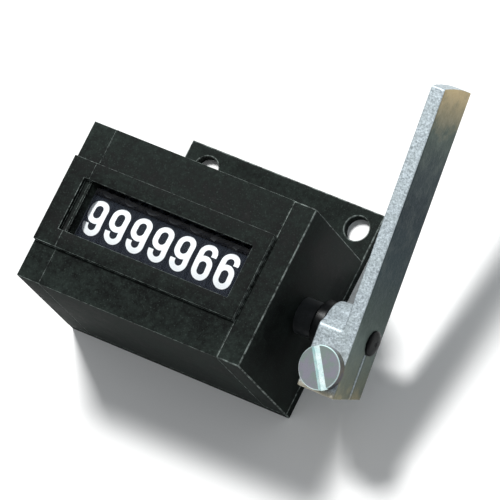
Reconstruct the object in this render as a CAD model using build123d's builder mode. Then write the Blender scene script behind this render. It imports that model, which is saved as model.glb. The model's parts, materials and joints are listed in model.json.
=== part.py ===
"""Seven-digit stroke counter: a row counter that a machine lever steps on by one for each row.

It lies on its back: the mounting face is Z = 0, the window looks up (+Z), the tops of the
numerals point to +Y and the lever is on the +X side. Millimetres throughout.
"""
from build123d import *
from math import cos, radians, sin
import os

# ---------------------------------------------------------------- driving dimensions
case_length = 60.0          # along X
case_width = 40.0           # along Y
case_height = 38.0          # along Z, to the front face
wall = 1.6
end_wall = 2.5              # the right end wall, which carries the bearing and the pins
cap_wall = 2.0              # the left cap's end wall
cap_length = 6.0            # each end piece, from the case's end to its seam
edge_radius = 0.6
plate_thickness = 2.5
flange_reach = 12.0         # of the mounting flange beyond the case
flange_left = -22.8
flange_hole_radius = 3.0
flange_hole_y = 26.8
flange_hole_right = 24.9
flange_hole_spacing = 41.4

band_height = 1.2           # the raised band round the window
band_half_width = 10.8
window_half_width = 6.6
window_left = -23.5
window_right = 20.4
notch_left = -25.3          # the window's shallow recess runs on into the left cap

shaft_height = 19.0         # the shaft's axis above the mounting face, on Y = 0
shaft_radius = 3.0
running = 0.05              # radial clearance of what turns on the shaft
snug = 0.02                 # radial clearance of what is fixed to its neighbour

wheel_count = 7
wheel_pitch = 5.91
units_x = 15.28             # middle of the units wheel
wheel_radius = 16.0
wheel_width = 5.8
drum_width = 4.9            # the part of a wheel that carries the numerals
drum_bore = 12.4
web_thickness = 1.0
wheel_hub_radius = 5.2
shown = [6, 6, 9, 9, 9, 9, 9]   # the numeral in the window, units first

gear_teeth = 20
gear_root = 12.1
gear_tip = 14.0
gear_root_width = 3.0       # of a tooth, along the root and the tip circles
gear_tip_width = 1.2
pinion_teeth = 6
pinion_root = 2.9
pinion_tip = 4.8
pinion_root_width = 2.2
pinion_tip_width = 1.0
pinion_tooth_length = 0.35
pinion_hub_radius = 2.0
carry_root = 12.6
carry_root_width = 1.8
carry_tip_width = 1.0
pinion_y = -13.0
pinion_z = 7.6
pinion_turn = 221.2         # direction from the shaft to the pinions, from +Y about +X
pinion_shaft_radius = 1.0

ratchet_left = 18.23
ratchet_width = 1.7
ratchet_teeth = 10
ratchet_radius = 9.3
ratchet_root = 7.4
pawl_orbit = 12.6           # distance of each pawl's pin from the shaft's axis
pawl_pin_radius = 1.2
pawl_eye_radius = 2.1
pin_engagement = 1.3        # depth of the blind pin holes in the right end wall
pin_end_gap = 0.1
drive_pawl_turn = 20.0
holding_pawl_turn = 200.0
carrier_left = 21.0
carrier_width = 1.8
carrier_hub_radius = 5.5
carrier_eye_radius = 2.3
stroke = 55.0               # the lever's swing, in degrees
stop_gap = 18.0             # angle between the carrier arm's middle and a stop pin that it rests on

bush_radius = 4.4
bush_start = 25.0
bush_end = 34.8
spigot_radius = 3.9
collar_start = 35.0
collar_end = 37.8
collar_radius = 5.7
shaft_chamfer = 0.4
ring_left = -23.95          # the retaining ring, in its groove in the shaft
ring_width = 0.6
ring_radius = 5.0
groove_depth = 0.4
groove_slack = 0.02
lever_tilt = 16.5           # the lever's rest angle, from +Y towards +Z
arm_left = 44.8
arm_thickness = 3.6
arm_back = -4.7             # the arm's back edge, behind the shaft's axis
arm_front = 9.8
foot_back = -13.5           # both ends of the arm lean a little, front edge lower
foot_front = -14.1
tip_back = 60.55
tip_front = 59.95
tip_bow = 0.45
arm_edge_radius = 0.3
hub_radius = 6.4
hub_taper = -4
block_left = 38.6
block_shelf = 0.9           # where the clamp block's flat front ends, along the arm
block_edge_radius = 0.5
slit_width = 0.8
slit_front = 1.65
screw_x = 43.5
screw_along = -8.3          # place of the clamp screw along the arm
screw_radius = 3.0
screw_short = 0.6           # how far the screw's end lies inside the block's back
head_radius = 5.15
head_height = 2.6
head_chamfer = 0.35
slot_width = 1.9
slot_depth = 1.3
slot_turn = -58.7
shaft_end = 49.4

case_screw_radius = 1.1
case_screw_length = 6.5
case_screw_head = 2.2
case_screw_head_height = 1.1
case_screw_sunk = 0.1
screw_hole_radius = 1.3
countersink_radius = 2.4
countersink_depth = 1.2
driver_slot_width = 0.6
driver_slot_depth = 0.5
case_screw_places = [(-12.0, 16.6), (12.0, 16.6), (21.6, -16.4), (-26.4, 16.4), (-26.4, -16.4)]
boss_radius = 1.8
boss_height = 6.0
boss_roof = 0.8             # left above the pilot hole in a boss
rib_overlap = 0.6           # of a boss's rib with the side wall
left_bearing_radius = 5.5
left_bearing_height = 3.6
pinion_bearing_radius = 2.2
pinion_bearing_height = 2.6
flange_corner_radius = 0.5
pane_thickness = 0.9
pane_lap_ends = 0.45        # how far the pane runs on behind the window's edges
pane_lap_sides = 1.6

wheel_names = ["units", "tens", "hundreds", "thousands", "ten_thousands", "hundred_thousands", "millions"]

# ---------------------------------------------------------------- worked-out dimensions
half_length = case_length / 2
half_width = case_width / 2
seam = half_length - cap_length
inner_y = half_width - wall
inner_top = case_height - wall
end_inner = half_length - end_wall
cap_inner = -half_length + cap_wall
band_top = case_height + band_height
shaft_start = cap_inner + 0.3   # clear of the cap's end wall
pin_seat = end_inner + pin_engagement
pin_end = pin_seat - pin_end_gap
band_foot = case_height - 0.2   # the band's section starts inside the front wall
from_below = (Align.CENTER, Align.CENTER, Align.MIN)


def save(name, builder):
    builder.part.label = name
    export_step(builder.part, f"parts/{name}.step")


def shaft_plane(x, turn=0.0):
    """Plane square to the shaft at x: origin on the axis, x direction turned from +Y about +X."""
    return Plane(
        origin=(x, 0, shaft_height),
        x_dir=(0, cos(radians(turn)), sin(radians(turn))),
        z_dir=(1, 0, 0),
    )


def disc(x, radius, bore=0.0):
    """Round section, or a ring, square to the shaft."""
    with BuildSketch(shaft_plane(x)) as section:
        Circle(radius)
        if bore:
            Circle(bore, mode=Mode.SUBTRACT)
    return section.sketch


def spot(x, turn, orbit, radius, bore=0.0):
    """Round section, or a ring, whose middle is at an orbit round the shaft."""
    with BuildSketch(shaft_plane(x, turn)) as section:
        with Locations((orbit, 0)):
            Circle(radius)
            if bore:
                Circle(bore, mode=Mode.SUBTRACT)
    return section.sketch


def pinion_spot(x, radius):
    """Round section about the pinions' axis."""
    with BuildSketch(Plane(origin=(x, pinion_y, pinion_z), x_dir=(0, 1, 0), z_dir=(1, 0, 0))) as section:
        Circle(radius)
    return section.sketch


# ---------------------------------------------------------------- case
def make_base_frame():
    """Back plate, mounting flange and right end in one moulding."""
    with BuildPart() as frame:
        with BuildSketch(Plane.XY) as plate:
            Rectangle(case_length, case_width)
            with Locations(((flange_left + half_length) / 2, half_width + flange_reach / 2)):
                Rectangle(half_length - flange_left, flange_reach)
            fillet(plate.vertices().group_by(Axis.Y)[-1], flange_corner_radius)
        extrude(amount=plate_thickness)
        with BuildSketch(Plane.YZ.offset(seam)) as end_block:
            with Locations((0, case_height / 2)):
                Rectangle(case_width, case_height)
            fillet(end_block.vertices().group_by(Axis.Z)[-1], edge_radius)
        extrude(amount=cap_length)
        with BuildSketch(Plane.YZ.offset(seam)):
            with Locations((0, (plate_thickness + inner_top) / 2)):
                Rectangle(2 * inner_y, inner_top - plate_thickness)
        extrude(amount=cap_length - end_wall, mode=Mode.SUBTRACT)
        extrude(disc(end_inner, bush_radius + snug), amount=end_wall, mode=Mode.SUBTRACT)
        extrude(pinion_spot(end_inner, pinion_shaft_radius + snug), amount=pin_engagement, mode=Mode.SUBTRACT)
        for turn in pin_turns():
            hole = spot(end_inner, turn, pawl_orbit, pawl_pin_radius + snug)
            extrude(hole, amount=pin_engagement, mode=Mode.SUBTRACT)
        with Locations(*flange_hole_places()):
            Hole(flange_hole_radius)
        with Locations(*[(x, y, 0) for x, y in case_screw_places]):
            Cylinder(screw_hole_radius, plate_thickness, align=from_below, mode=Mode.SUBTRACT)
            Cone(
                countersink_radius, screw_hole_radius, countersink_depth,
                align=from_below, mode=Mode.SUBTRACT)
    save("base_frame", frame)


def flange_hole_places():
    return [
        (flange_hole_right, flange_hole_y, plate_thickness),
        (flange_hole_right - flange_hole_spacing, flange_hole_y, plate_thickness),
    ]


def pin_turns():
    """Directions of the holding pawl's pin and of the two stroke stops."""
    return [holding_pawl_turn, drive_pawl_turn - stop_gap, drive_pawl_turn + stroke + stop_gap]


def shell_section(x):
    """Outer outline of the case above the back plate."""
    with BuildSketch(Plane.YZ.offset(x)) as outline:
        with Locations((0, (plate_thickness + case_height) / 2)):
            Rectangle(case_width, case_height - plate_thickness)
        fillet(outline.vertices().group_by(Axis.Z)[-1], edge_radius)
    return outline.sketch


def hollow_section(x):
    with BuildSketch(Plane.YZ.offset(x)) as outline:
        with Locations((0, (plate_thickness + inner_top) / 2)):
            Rectangle(2 * inner_y, inner_top - plate_thickness)
    return outline.sketch


def band_section(x):
    with BuildSketch(Plane.YZ.offset(x)) as outline:
        with Locations((0, (band_foot + band_top) / 2)):
            Rectangle(2 * band_half_width, band_top - band_foot)
    return outline.sketch


def boss_section(x, y):
    """Screw boss with a rib to the side wall."""
    side = 1 if y > 0 else -1
    with BuildSketch(Plane.XY.offset(plate_thickness)) as section:
        with Locations((x, y)):
            Circle(boss_radius)
        with Locations((x, y + side * boss_radius / 2)):
            Rectangle(2 * boss_radius, boss_radius + rib_overlap)
    return section.sketch


def pilot_section(x, y):
    with BuildSketch(Plane.XY.offset(plate_thickness)) as section:
        with Locations((x, y)):
            Circle(case_screw_radius + snug)
    return section.sketch


def make_centre_cover():
    """Front and both sides of the middle of the case, with the band and the window opening."""
    with BuildPart() as cover:
        extrude(shell_section(-seam), amount=2 * seam)
        extrude(band_section(-seam), amount=2 * seam)
        extrude(hollow_section(-seam), amount=2 * seam, mode=Mode.SUBTRACT)
        for x, y in case_screw_places:
            if abs(x) < seam:
                extrude(boss_section(x, y), amount=boss_height)
                extrude(pilot_section(x, y), amount=boss_height - boss_roof, mode=Mode.SUBTRACT)
        with BuildSketch(Plane.XY.offset(inner_top - 1)):
            with Locations(((window_left + window_right) / 2, 0)):
                Rectangle(window_right - window_left, 2 * window_half_width)
        extrude(amount=band_top - inner_top + 2, mode=Mode.SUBTRACT)
        with BuildSketch(Plane.XY.offset(case_height)):
            with Locations(((window_left - seam) / 2, 0)):
                Rectangle(window_left + seam, 2 * window_half_width)
        extrude(amount=2 * band_height, mode=Mode.SUBTRACT)
    save("centre_cover", cover)


def make_left_end_cap():
    """Closed end of the case, with the shaft's left bearing moulded in."""
    with BuildPart() as cap:
        extrude(shell_section(-half_length), amount=cap_length)
        extrude(band_section(-half_length), amount=cap_length)
        extrude(hollow_section(cap_inner), amount=cap_length - cap_wall, mode=Mode.SUBTRACT)
        extrude(disc(cap_inner, left_bearing_radius), amount=left_bearing_height)
        extrude(pinion_spot(cap_inner, pinion_bearing_radius), amount=pinion_bearing_height)
        for x, y in case_screw_places:
            if x < -seam:
                extrude(boss_section(x, y), amount=boss_height)
                extrude(pilot_section(x, y), amount=boss_height - boss_roof, mode=Mode.SUBTRACT)
        extrude(disc(cap_inner, shaft_radius + running), amount=left_bearing_height, mode=Mode.SUBTRACT)
        seat = pinion_spot(cap_inner - pin_engagement + 0.5, pinion_shaft_radius + snug)
        extrude(seat, amount=pinion_bearing_height + pin_engagement - 0.5, mode=Mode.SUBTRACT)
        with BuildSketch(Plane.XY.offset(case_height)):
            with Locations(((notch_left - seam) / 2, 0)):
                Rectangle(-seam - notch_left, 2 * window_half_width)
        extrude(amount=2 * band_height, mode=Mode.SUBTRACT)
    save("left_end_cap", cap)


def make_window_pane():
    """Clear pane behind the window opening."""
    with BuildPart() as pane:
        with BuildSketch(Plane.XY.offset(inner_top - pane_thickness)):
            with Locations(((window_left + window_right) / 2, 0)):
                Rectangle(
                    window_right - window_left + 2 * pane_lap_ends,
                    2 * (window_half_width + pane_lap_sides))
        extrude(amount=pane_thickness)
    save("window_pane", pane)


def make_case_screws():
    """Countersunk screws that hold the cover and the cap to the back plate, as one group."""
    with BuildPart() as screws:
        with Locations(*[(x, y, case_screw_sunk) for x, y in case_screw_places]):
            Cone(case_screw_head, case_screw_radius, case_screw_head_height, align=from_below)
            Cylinder(case_screw_radius, case_screw_length, align=from_below)
        with Locations(*[(x, y, case_screw_sunk) for x, y in case_screw_places]):
            Box(
                2 * countersink_radius, driver_slot_width, driver_slot_depth,
                align=from_below, mode=Mode.SUBTRACT)
    save("case_screws", screws)


# ---------------------------------------------------------------- shaft and its fittings
def make_bearing_bush():
    """Black bush in the right end wall, with a spigot that the return spring sits on."""
    with BuildPart() as bush:
        extrude(disc(bush_start, spigot_radius), amount=end_inner - bush_start)
        extrude(disc(end_inner, bush_radius), amount=bush_end - end_inner)
        extrude(disc(bush_start, shaft_radius + running), amount=bush_end - bush_start, mode=Mode.SUBTRACT)
        chamfer(bush.faces().sort_by(Axis.X)[-1].edges().sort_by(SortBy.RADIUS)[-1], shaft_chamfer)
    save("bearing_bush", bush)


def make_drive_shaft():
    with BuildPart() as shaft:
        extrude(disc(shaft_start, shaft_radius), amount=shaft_end - shaft_start)
        groove = disc(ring_left - groove_slack, ring_radius, shaft_radius - groove_depth)
        extrude(groove, amount=ring_width + 2 * groove_slack, mode=Mode.SUBTRACT)
        chamfer(shaft.faces().sort_by(Axis.X)[-1].edges(), shaft_chamfer)
    save("drive_shaft", shaft)


def make_shaft_collar():
    """Black spacing collar between the bush and the lever's hub."""
    with BuildPart() as collar:
        extrude(disc(collar_start, collar_radius, shaft_radius + snug), amount=collar_end - collar_start)
        chamfer(collar.edges().filter_by(GeomType.CIRCLE).group_by(SortBy.RADIUS)[-1], shaft_chamfer)
    save("shaft_collar", collar)


def make_retaining_ring():
    """Open ring in the shaft's groove, beside the millions wheel."""
    with BuildPart() as ring:
        extrude(disc(ring_left, ring_radius, shaft_radius - groove_depth + snug), amount=ring_width)
        with BuildSketch(shaft_plane(ring_left)):
            with Locations((-ring_radius, 0)):
                Rectangle(2 * (ring_radius - 2.0), 1.2 * shaft_radius)
        extrude(amount=ring_width, mode=Mode.SUBTRACT)
    save("retaining_ring", ring)


# ---------------------------------------------------------------- number wheels and carry pinions
def toothed_section(plane, teeth, root, tip, root_width, tip_width):
    """Straight-sided teeth round a root circle, the first one along the plane's x direction."""
    with BuildSketch(plane) as section:
        Circle(root)
        with PolarLocations(0, teeth):
            Polygon(
                (root - 0.6, -root_width / 2),
                (tip, -tip_width / 2),
                (tip, tip_width / 2),
                (root - 0.6, root_width / 2),
                align=None,
            )
    return section.sketch


def make_number_wheel(index):
    """Cup-shaped wheel: numeral drum, web and hub, gear ring on its right, two carry teeth on its left."""
    middle = units_x - index * wheel_pitch
    left = middle - wheel_width / 2
    right = middle + wheel_width / 2
    drum_left = middle - drum_width / 2
    drum_right = middle + drum_width / 2
    side = (wheel_width - drum_width) / 2
    with BuildPart() as wheel:
        extrude(disc(drum_left, wheel_radius, drum_bore), amount=drum_width)
        extrude(disc(drum_right - web_thickness, (drum_bore + wheel_radius) / 2), amount=web_thickness)
        extrude(disc(left, wheel_hub_radius), amount=wheel_width)
        if index > 0:
            ring = toothed_section(
                shaft_plane(drum_right, pinion_turn),
                gear_teeth, gear_root, gear_tip, gear_root_width, gear_tip_width)
            extrude(ring, amount=side)
        else:
            extrude(disc(drum_right, gear_root), amount=side)
        if index < wheel_count - 1:
            step = 360 / 10         # one numeral
            carry_turn = pinion_turn - step / 2 - step * (9 - shown[index])
            with BuildSketch(shaft_plane(left, carry_turn)):
                Circle(drum_bore + 0.8)
                Circle(drum_bore - 1.0, mode=Mode.SUBTRACT)
                for tooth_turn in (-step / 4, step / 4):
                    with Locations(Location((0, 0), tooth_turn)):
                        Polygon(
                            (carry_root, -carry_root_width / 2),
                            (gear_tip, -carry_tip_width / 2),
                            (gear_tip, carry_tip_width / 2),
                            (carry_root, carry_root_width / 2),
                            align=None,
                        )
            extrude(amount=side)
        extrude(disc(left, shaft_radius + running), amount=wheel_width, mode=Mode.SUBTRACT)
    save(f"{wheel_names[index]}_wheel", wheel)


def make_transfer_pinion(index):
    """Pinion that turns the gear ring of one wheel, beside the carry teeth of the wheel to its right."""
    gear_left = units_x - index * wheel_pitch + drum_width / 2
    lower_drum = gear_left + wheel_pitch - drum_width
    first_tooth = radians(pinion_turn + 180 + 180 / pinion_teeth)
    left = gear_left + running
    tooth_plane = Plane(
        origin=(left, pinion_y, pinion_z),
        x_dir=(0, cos(first_tooth), sin(first_tooth)),
        z_dir=(1, 0, 0),
    )
    with BuildPart() as pinion:
        section = toothed_section(
            tooth_plane, pinion_teeth, pinion_root, pinion_tip, pinion_root_width, pinion_tip_width)
        extrude(section, amount=pinion_tooth_length)
        extrude(pinion_spot(left, pinion_hub_radius), amount=lower_drum - running - left)
        bore = pinion_spot(left, pinion_shaft_radius + running)
        extrude(bore, amount=lower_drum - left, mode=Mode.SUBTRACT)
    save(f"{wheel_names[index]}_pinion", pinion)


def make_pinion_shaft():
    left = cap_inner - pin_engagement + 0.7
    with BuildPart() as rod:
        extrude(pinion_spot(left, pinion_shaft_radius), amount=pin_end - left)
    save("pinion_shaft", rod)


# ---------------------------------------------------------------- ratchet drive
def make_ratchet_wheel():
    """Ten saw teeth, fixed to the units wheel; the steep side of each faces the pawls."""
    with BuildPart() as ratchet:
        with BuildSketch(shaft_plane(ratchet_left, drive_pawl_turn + 30)):
            Circle(ratchet_root)
            with PolarLocations(0, ratchet_teeth):
                Polygon(
                    (ratchet_root - 1.4, -0.4), (ratchet_root, 0), (ratchet_radius, 0.2),
                    (ratchet_root - 0.2, 4.2), (ratchet_root - 1.4, 3.0), align=None)
        extrude(amount=ratchet_width)
        extrude(disc(ratchet_left, shaft_radius + running), amount=ratchet_width, mode=Mode.SUBTRACT)
    save("ratchet_wheel", ratchet)


def make_pawl(name, turn):
    """Pawl on its pin; its nose rests just over the ratchet's crests."""
    with BuildPart() as pawl:
        with BuildSketch(shaft_plane(ratchet_left + running, turn)):
            with Locations((pawl_orbit, 0)):
                Circle(pawl_eye_radius)
            Polygon(
                (pawl_orbit + 1.3, 1.6), (pawl_orbit - 2.9, 6.6), (pawl_orbit - 4.3, 5.35),
                (pawl_orbit - 1.9, -0.9), (pawl_orbit, 0), align=None)
            with Locations((pawl_orbit, 0)):
                Circle(pawl_pin_radius + running, mode=Mode.SUBTRACT)
        extrude(amount=ratchet_width - 2 * running)
    save(name, pawl)


def make_pawl_carrier():
    """Arm fixed to the shaft that swings the drive pawl round the ratchet."""
    with BuildPart() as carrier:
        with BuildSketch(shaft_plane(carrier_left, drive_pawl_turn)):
            Circle(carrier_hub_radius)
            Polygon(
                (0, -4.2), (pawl_orbit, -carrier_eye_radius),
                (pawl_orbit, carrier_eye_radius), (0, 4.2), align=None)
            with Locations((pawl_orbit, 0)):
                Circle(carrier_eye_radius)
            Circle(shaft_radius + snug, mode=Mode.SUBTRACT)
            with Locations((pawl_orbit, 0)):
                Circle(pawl_pin_radius + snug, mode=Mode.SUBTRACT)
        extrude(amount=carrier_width)
    save("pawl_carrier", carrier)


def make_pins():
    """Pins of both pawls, and the two stops that the carrier's arm rests on."""
    with BuildPart() as drive_pin:
        extrude(spot(ratchet_left, drive_pawl_turn, pawl_orbit, pawl_pin_radius),
                amount=carrier_left + carrier_width - ratchet_left)
    save("drive_pawl_pin", drive_pin)
    with BuildPart() as holding_pin:
        extrude(spot(ratchet_left, holding_pawl_turn, pawl_orbit, pawl_pin_radius),
                amount=pin_end - ratchet_left)
    save("holding_pawl_pin", holding_pin)
    with BuildPart() as stops:
        for turn in pin_turns()[1:]:
            extrude(spot(carrier_left, turn, pawl_orbit, pawl_pin_radius),
                    amount=pin_end - carrier_left)
    save("stroke_stops", stops)


def make_pawl_spring(name, turn):
    """Wire hairpin round the pawl's pin, one leg along the pawl and one towards the shaft's side."""
    wire = 0.22
    coil = 1.6
    leg = 3.4
    middle = (ratchet_left + ratchet_width + carrier_left) / 2
    with BuildPart() as spring:
        with BuildLine(shaft_plane(middle, turn)):
            bend = CenterArc((pawl_orbit, 0), coil, 280, 119)
            Line(bend @ 0 - (bend % 0) * leg, bend @ 0)
            Line(bend @ 1, bend @ 1 + (bend % 1) * leg)
        path = spring.pending_edges_as_wire
        with BuildSketch(Plane(origin=path @ 0, z_dir=path % 0)):
            Circle(wire)
        sweep(path=path)
    save(name, spring)


def make_return_spring():
    """Torsion spring on the bush's spigot that brings the lever back."""
    coil = 4.6
    wire = 0.36
    first = 23.45
    pitch = 0.9
    height = 3.15
    leg_length = 5.5
    with BuildPart() as spring:
        with BuildLine() as line:
            turns = Helix(pitch, height, coil, center=(first, 0, shaft_height), direction=(1, 0, 0))
        with BuildSketch(Plane(origin=turns @ 0, z_dir=turns % 0)) as wire_end:
            Circle(wire)
        sweep(path=line.wire())
        for end, away in ((0, -1), (1, 1)):
            with BuildSketch(Plane(origin=turns @ end, z_dir=(turns % end) * away)) as leg:
                Circle(wire)
            extrude(leg.sketch, amount=leg_length)
    save("return_spring", spring)


# ---------------------------------------------------------------- lever
def clamp_screw_plane(height):
    """Plane square to the clamp screw, at a height in front of the shaft's axis."""
    tilt = radians(lever_tilt)
    return Plane(
        origin=(
            screw_x,
            screw_along * cos(tilt) - height * sin(tilt),
            shaft_height + screw_along * sin(tilt) + height * cos(tilt),
        ),
        x_dir=(1, 0, 0),
        z_dir=(0, -sin(tilt), cos(tilt)),
    )


def make_lever():
    """Die-cast lever: flat arm, tapered hub, and a slit clamp block below the shaft."""
    tip_middle = ((tip_back + tip_front) / 2 + tip_bow, (arm_back + arm_front) / 2)
    with BuildPart() as lever:
        with BuildSketch(shaft_plane(arm_left, lever_tilt)) as arm:
            with BuildLine():
                foot = Polyline(
                    (tip_back, arm_back), (foot_back, arm_back),
                    (foot_front, arm_front), (tip_front, arm_front))
                ThreePointArc(foot @ 1, tip_middle, foot @ 0)
            make_face()
            fillet(arm.vertices(), arm_edge_radius)
        extrude(amount=arm_thickness)
        with BuildSketch(shaft_plane(collar_end, lever_tilt)) as hub:
            Circle(hub_radius)
        extrude(amount=arm_left - collar_end, taper=hub_taper)
        with BuildSketch(shaft_plane(block_left, lever_tilt)) as block:
            Polygon(
                (foot_back, arm_back), (foot_front, arm_front), (block_shelf, arm_front),
                (block_shelf + 0.7, hub_radius - 0.5), (0, 0), (-1.5, arm_back),
                align=None,
            )
            fillet(block.vertices().group_by(Axis.X)[0], block_edge_radius)
        extrude(amount=arm_left - block_left)
        bore_length = shaft_end - collar_end + 1
        extrude(disc(collar_end - 1, shaft_radius + snug), amount=bore_length, mode=Mode.SUBTRACT)
        with BuildSketch(shaft_plane(collar_end, lever_tilt)):
            with Locations(((foot_front - 1) / 2, slit_front - slit_width / 2)):
                Rectangle(1 - foot_front, slit_width)
        extrude(amount=shaft_end - collar_end, mode=Mode.SUBTRACT)
        with BuildSketch(clamp_screw_plane(arm_front + 1)):
            Circle(screw_radius + snug)
        extrude(amount=arm_back - arm_front - 2, mode=Mode.SUBTRACT)
    save("lever", lever)


def make_clamp_screw():
    """Slotted cheese-head screw across the lever's slit."""
    with BuildPart() as screw:
        with BuildSketch(clamp_screw_plane(arm_front)):
            Circle(head_radius)
        extrude(amount=head_height)
        chamfer(screw.faces().sort_by(Axis.Z)[-1].edges(), head_chamfer)
        with BuildSketch(clamp_screw_plane(arm_front + head_height)):
            Rectangle(3 * head_radius, slot_width, rotation=slot_turn)
        extrude(amount=-slot_depth, mode=Mode.SUBTRACT)
        with BuildSketch(clamp_screw_plane(arm_front)):
            Circle(screw_radius)
        extrude(amount=arm_back - arm_front + screw_short)
    save("clamp_screw", screw)


os.makedirs("parts", exist_ok=True)
make_base_frame()
make_centre_cover()
make_left_end_cap()
make_window_pane()
make_case_screws()
make_bearing_bush()
make_drive_shaft()
make_shaft_collar()
make_retaining_ring()
for wheel_index in range(wheel_count):
    make_number_wheel(wheel_index)
for wheel_index in range(1, wheel_count):
    make_transfer_pinion(wheel_index)
make_pinion_shaft()
make_ratchet_wheel()
make_pawl("drive_pawl", drive_pawl_turn)
make_pawl("holding_pawl", holding_pawl_turn)
make_pawl_carrier()
make_pins()
make_pawl_spring("drive_pawl_spring", drive_pawl_turn)
make_pawl_spring("holding_pawl_spring", holding_pawl_turn)
make_return_spring()
make_lever()
make_clamp_screw()
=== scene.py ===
"""Row counter: the looks of a seven-digit stroke counter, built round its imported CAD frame."""

import json
import math

import bmesh
import bpy
from mathutils import Matrix, Quaternion, Vector


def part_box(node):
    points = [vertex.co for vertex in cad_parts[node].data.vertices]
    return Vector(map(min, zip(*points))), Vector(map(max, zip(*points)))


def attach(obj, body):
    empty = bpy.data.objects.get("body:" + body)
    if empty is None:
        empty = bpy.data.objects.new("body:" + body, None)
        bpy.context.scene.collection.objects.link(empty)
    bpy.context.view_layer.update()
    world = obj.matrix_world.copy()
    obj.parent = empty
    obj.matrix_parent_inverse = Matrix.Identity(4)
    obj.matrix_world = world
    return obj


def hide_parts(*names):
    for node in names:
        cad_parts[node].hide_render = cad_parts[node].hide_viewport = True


bl_info = {
    "name": "Row counter",
    "version": (1, 0, 0),
    "blender": (4, 5, 0),
    "location": "3D View > Sidebar > Row counter",
    "description": "Builds a lever-operated row counter and its studio",
    "category": "Object",
}

MM = 0.001
TOUCH = 1e-7         # closer than this counts as touching, in metres
ROUND, TURNED = 64, 96      # sides of a bored hole and of a turned piece

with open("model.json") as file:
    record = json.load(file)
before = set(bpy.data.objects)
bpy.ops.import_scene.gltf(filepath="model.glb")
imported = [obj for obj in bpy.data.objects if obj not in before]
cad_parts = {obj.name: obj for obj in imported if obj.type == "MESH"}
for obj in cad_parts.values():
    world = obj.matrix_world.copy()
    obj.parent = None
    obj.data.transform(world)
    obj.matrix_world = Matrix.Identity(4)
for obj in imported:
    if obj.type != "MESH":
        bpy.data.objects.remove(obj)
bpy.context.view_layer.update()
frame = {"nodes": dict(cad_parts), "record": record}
NODES = frame["nodes"]

# ------------------------------------------------------------------ places read from the frame
COVER_LOW, COVER_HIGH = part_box("centre_cover")
CAP_LOW, CAP_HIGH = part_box("left_end_cap")
BASE_LOW, BASE_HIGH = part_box("base_frame")
BUSH_LOW, BUSH_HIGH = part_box("bearing_bush")
COLLAR_LOW, COLLAR_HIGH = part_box("shaft_collar")
SHAFT_LOW, SHAFT_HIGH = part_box("drive_shaft")
LEVER_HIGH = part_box("lever")[1]
AXIS_HEIGHT = (SHAFT_LOW.z + SHAFT_HIGH.z) / 2
PLATE_TOP = COVER_LOW.z
WHEEL_NAMES = ("units", "tens", "hundreds", "thousands", "ten_thousands", "hundred_thousands", "millions")
SHOWN = (6, 6, 9, 9, 9, 9, 9)


# ------------------------------------------------------------------ sizes and colours a user may change
LENGTH = {"unit": "LENGTH", "precision": 5}


class CounterSizes(bpy.types.PropertyGroup):
    band_height: bpy.props.FloatProperty(
        name="Band height", description="How far the band round the window stands proud",
        default=1.2 * MM, **LENGTH)
    band_half: bpy.props.FloatProperty(
        name="Band half width", description="From the middle of the window to the band's edge",
        default=10.8 * MM, **LENGTH)
    window_half: bpy.props.FloatProperty(
        name="Window half width", description="From the middle of the window to its edge",
        default=6.6 * MM, **LENGTH)
    window_left: bpy.props.FloatProperty(
        name="Window left", description="Left edge of the window opening",
        default=-23.5 * MM, **LENGTH)
    window_right: bpy.props.FloatProperty(
        name="Window right", description="Right edge of the window opening",
        default=20.4 * MM, **LENGTH)
    notch_left: bpy.props.FloatProperty(
        name="Notch left", description="Left edge of the recess that runs on into the end cap",
        default=-25.3 * MM, **LENGTH)
    wall: bpy.props.FloatProperty(
        name="Wall", description="Thickness of the moulded walls",
        default=1.6 * MM, **LENGTH)
    corner: bpy.props.FloatProperty(
        name="Corner", description="Rounding of the case's moulded edges",
        default=0.28 * MM, **LENGTH)
    flange_left: bpy.props.FloatProperty(
        name="Flange left", description="Left edge of the mounting flange",
        default=-22.8 * MM, **LENGTH)
    flange_hole: bpy.props.FloatProperty(
        name="Flange hole radius", description="Radius of the two mounting holes",
        default=3.0 * MM, **LENGTH)
    digit_height: bpy.props.FloatProperty(
        name="Numeral height", description="Height of a numeral on its wheel",
        default=8.8 * MM, **LENGTH)
    digit_width: bpy.props.FloatProperty(
        name="Numeral width", description="Width of a numeral on its wheel",
        default=4.6 * MM, **LENGTH)
    digit_stroke: bpy.props.FloatProperty(
        name="Numeral stroke", description="Width of the pen that draws the numerals",
        default=1.33 * MM, **LENGTH)
    lever_tilt: bpy.props.FloatProperty(
        name="Lever tilt", description="Rest angle of the lever's arm, from +Y towards +Z",
        default=math.radians(16.5), subtype="ANGLE")


class CounterColours(bpy.types.PropertyGroup):
    case: bpy.props.StringProperty(
        name="Case", description="sRGB hex colour of the moulded case", default="070a09")
    dust: bpy.props.StringProperty(
        name="Dust", description="sRGB hex colour of the dusty bloom on the case", default="333c38")
    # Pale edge colour: wear, and a painted highlight along the case's edges.
    wear_and_painted_light: bpy.props.StringProperty(
        name="Worn edge", description="sRGB hex colour of rubbed edges", default="848d89")
    numerals: bpy.props.StringProperty(
        name="Numerals", description="sRGB hex colour of the numerals", default="f6fafb")
    wheels: bpy.props.StringProperty(
        name="Wheels", description="sRGB hex colour of the number wheels", default="0b0d10")
    zinc: bpy.props.StringProperty(
        name="Zinc", description="sRGB hex colour of the die casting", default="d3dde2")
    zinc_dark: bpy.props.StringProperty(
        name="Zinc grain", description="sRGB hex colour of the casting's dark grain", default="838d92")
    plating: bpy.props.StringProperty(
        name="Plating", description="sRGB hex colour of the plated screw", default="a8a6b2")
    floor: bpy.props.StringProperty(
        name="Floor", description="sRGB hex colour of the studio floor", default="fbfbfa")


def sizes():
    return bpy.context.scene.counter_sizes


def colours():
    return bpy.context.scene.counter_colours


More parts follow.
